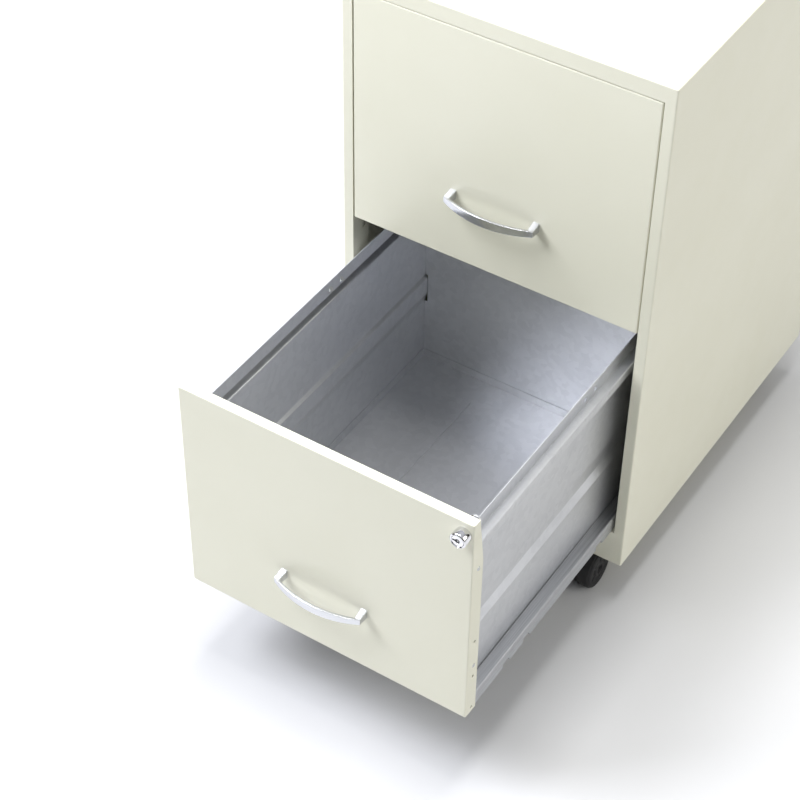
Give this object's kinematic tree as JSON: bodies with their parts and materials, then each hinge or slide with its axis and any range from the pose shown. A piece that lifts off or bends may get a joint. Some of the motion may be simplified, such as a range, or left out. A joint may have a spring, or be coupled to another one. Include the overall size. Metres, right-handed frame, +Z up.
{
  "type": "mobile filing cabinet",
  "caption": "Mobile steel filing cabinet: folded case with inset file drawers on roller slides, bow handles, a cam lock and swivelling twin-wheel casters.",
  "frame": {"origin": "on the floor, below the middle of the case's footprint", "axes": "+Z is up, -Y points out of the front, and +X is the cabinet's right as seen from its front"},
  "size_m": [0.362, 0.7888, 0.69],
  "materials": {
    "cream_paint": "semi-gloss powder coat with a very fine orange peel",
    "galvanised_steel": "matt galvanised sheet with faint mottling",
    "runner_steel": "zinc-plated rolled steel",
    "satin_chrome": "satin chrome",
    "polished_chrome": "polished chrome",
    "bright_steel": "bright zinc plating",
    "black_plastic": "moulded, lightly textured",
    "wheel_plastic": "hard moulded tread",
    "white_nylon": "moulded nylon",
    "black_rubber": "moulded rubber"
  },
  "bodies": {
    "root": {"case_wrap": "cream_paint", "header_channel": "cream_paint", "kick_channel": "cream_paint", "bottom_panel": "cream_paint", "back_panel": "cream_paint", "caster_plates": "galvanised_steel", "caster_stems": "bright_steel", "case_screws": "bright_steel", "case_rivets": "bright_steel", "rear_bumpers": "black_rubber", "lock_strike": "galvanised_steel", "upper_left_channel": "galvanised_steel", "upper_right_channel": "galvanised_steel", "lower_left_channel": "galvanised_steel", "lower_right_channel": "galvanised_steel"},
    "upper_drawer": {"upper_drawer_front": "cream_paint", "upper_left_wall": "galvanised_steel", "upper_right_wall": "galvanised_steel", "upper_drawer_bottom": "galvanised_steel", "upper_drawer_back": "galvanised_steel", "upper_left_runner": "runner_steel", "upper_right_runner": "runner_steel", "upper_handle": "satin_chrome", "upper_drawer_screws": "bright_steel"},
    "lower_drawer": {"lower_drawer_front": "cream_paint", "lower_left_wall": "galvanised_steel", "lower_right_wall": "galvanised_steel", "lower_drawer_bottom": "galvanised_steel", "lower_drawer_back": "galvanised_steel", "lower_left_runner": "runner_steel", "lower_right_runner": "runner_steel", "lower_handle": "satin_chrome", "lower_drawer_screws": "bright_steel", "lock_barrel": "polished_chrome", "lock_ring_nut": "polished_chrome"},
    "lock": {"lock_plug": "polished_chrome", "lock_cam": "galvanised_steel"},
    "upper_left_front_roller": {"upper_left_front_roller": "white_nylon"},
    "upper_left_rear_roller": {"upper_left_rear_roller": "white_nylon"},
    "upper_right_front_roller": {"upper_right_front_roller": "white_nylon"},
    "upper_right_rear_roller": {"upper_right_rear_roller": "white_nylon"},
    "lower_left_front_roller": {"lower_left_front_roller": "white_nylon"},
    "lower_left_rear_roller": {"lower_left_rear_roller": "white_nylon"},
    "lower_right_front_roller": {"lower_right_front_roller": "white_nylon"},
    "lower_right_rear_roller": {"lower_right_rear_roller": "white_nylon"},
    "front_left_caster": {"front_left_caster_housing": "black_plastic", "front_left_caster_axle": "bright_steel"},
    "front_left_caster_rolling": {"front_left_caster_wheels": "wheel_plastic"},
    "front_right_caster": {"front_right_caster_housing": "black_plastic", "front_right_caster_axle": "bright_steel"},
    "front_right_caster_rolling": {"front_right_caster_wheels": "wheel_plastic"},
    "rear_left_caster": {"rear_left_caster_housing": "black_plastic", "rear_left_caster_axle": "bright_steel"},
    "rear_left_caster_rolling": {"rear_left_caster_wheels": "wheel_plastic"},
    "rear_right_caster": {"rear_right_caster_housing": "black_plastic", "rear_right_caster_axle": "bright_steel"},
    "rear_right_caster_rolling": {"rear_right_caster_wheels": "wheel_plastic"}
  },
  "joints": [
    {"name": "upper_drawer_slide", "type": "slide", "parent": "root", "child": "upper_drawer", "axis": [0, -1, 0], "range_m": [0, 0.31]},
    {"name": "lower_drawer_slide", "type": "slide", "parent": "root", "child": "lower_drawer", "axis": [0, -1, 0], "range_m": [-0.305, 0.005]},
    {"name": "lock_turn", "type": "hinge", "parent": "lower_drawer", "child": "lock", "pos_m": [0.1568, -0.5335, 0.3725], "axis": [0, -1, 0], "range_deg": [0, 90]},
    {"name": "upper_left_front_roller_spin", "type": "hinge", "parent": "root", "child": "upper_left_front_roller", "pos_m": [-0.15935, -0.1835, 0.405], "axis": [1, 0, 0], "continuous": true},
    {"name": "upper_left_rear_roller_spin", "type": "hinge", "parent": "upper_drawer", "child": "upper_left_rear_roller", "pos_m": [-0.1722, 0.1715, 0.4042], "axis": [1, 0, 0], "continuous": true},
    {"name": "upper_right_front_roller_spin", "type": "hinge", "parent": "root", "child": "upper_right_front_roller", "pos_m": [0.15935, -0.1835, 0.405], "axis": [1, 0, 0], "continuous": true},
    {"name": "upper_right_rear_roller_spin", "type": "hinge", "parent": "upper_drawer", "child": "upper_right_rear_roller", "pos_m": [0.1722, 0.1715, 0.4042], "axis": [1, 0, 0], "continuous": true},
    {"name": "lower_left_front_roller_spin", "type": "hinge", "parent": "root", "child": "lower_left_front_roller", "pos_m": [-0.15935, -0.1835, 0.1225], "axis": [1, 0, 0], "continuous": true},
    {"name": "lower_left_rear_roller_spin", "type": "hinge", "parent": "lower_drawer", "child": "lower_left_rear_roller", "pos_m": [-0.1722, -0.1335, 0.1217], "axis": [1, 0, 0], "continuous": true},
    {"name": "lower_right_front_roller_spin", "type": "hinge", "parent": "root", "child": "lower_right_front_roller", "pos_m": [0.15935, -0.1835, 0.1225], "axis": [1, 0, 0], "continuous": true},
    {"name": "lower_right_rear_roller_spin", "type": "hinge", "parent": "lower_drawer", "child": "lower_right_rear_roller", "pos_m": [0.1722, -0.1335, 0.1217], "axis": [1, 0, 0], "continuous": true},
    {"name": "front_left_caster_swivel", "type": "hinge", "parent": "root", "child": "front_left_caster", "pos_m": [-0.127, -0.1925, 0.05], "axis": [0, 0, 1], "continuous": true},
    {"name": "front_left_caster_roll", "type": "hinge", "parent": "front_left_caster", "child": "front_left_caster_rolling", "pos_m": [-0.127, -0.2135, 0.025], "axis": [1, 0, 0], "continuous": true},
    {"name": "front_right_caster_swivel", "type": "hinge", "parent": "root", "child": "front_right_caster", "pos_m": [0.127, -0.1925, 0.05], "axis": [0, 0, 1], "continuous": true},
    {"name": "front_right_caster_roll", "type": "hinge", "parent": "front_right_caster", "child": "front_right_caster_rolling", "pos_m": [0.127, -0.2135, 0.025], "axis": [1, 0, 0], "continuous": true},
    {"name": "rear_left_caster_swivel", "type": "hinge", "parent": "root", "child": "rear_left_caster", "pos_m": [-0.127, 0.1925, 0.05], "axis": [0, 0, 1], "continuous": true},
    {"name": "rear_left_caster_roll", "type": "hinge", "parent": "rear_left_caster", "child": "rear_left_caster_rolling", "pos_m": [-0.127, 0.1715, 0.025], "axis": [1, 0, 0], "continuous": true},
    {"name": "rear_right_caster_swivel", "type": "hinge", "parent": "root", "child": "rear_right_caster", "pos_m": [0.127, 0.1925, 0.05], "axis": [0, 0, 1], "continuous": true},
    {"name": "rear_right_caster_roll", "type": "hinge", "parent": "rear_right_caster", "child": "rear_right_caster_rolling", "pos_m": [0.127, 0.1715, 0.025], "axis": [1, 0, 0], "continuous": true}
  ],
  "couplings": [
    {"joint": "upper_left_front_roller_spin", "follows": "upper_drawer_slide", "rad_per_m": 133.33},
    {"joint": "upper_left_rear_roller_spin", "follows": "upper_drawer_slide", "rad_per_m": 125},
    {"joint": "upper_right_front_roller_spin", "follows": "upper_drawer_slide", "rad_per_m": 133.33},
    {"joint": "upper_right_rear_roller_spin", "follows": "upper_drawer_slide", "rad_per_m": 125},
    {"joint": "lower_left_front_roller_spin", "follows": "lower_drawer_slide", "rad_per_m": 133.33},
    {"joint": "lower_left_rear_roller_spin", "follows": "lower_drawer_slide", "rad_per_m": 125},
    {"joint": "lower_right_front_roller_spin", "follows": "lower_drawer_slide", "rad_per_m": 133.33},
    {"joint": "lower_right_rear_roller_spin", "follows": "lower_drawer_slide", "rad_per_m": 125}
  ]
}
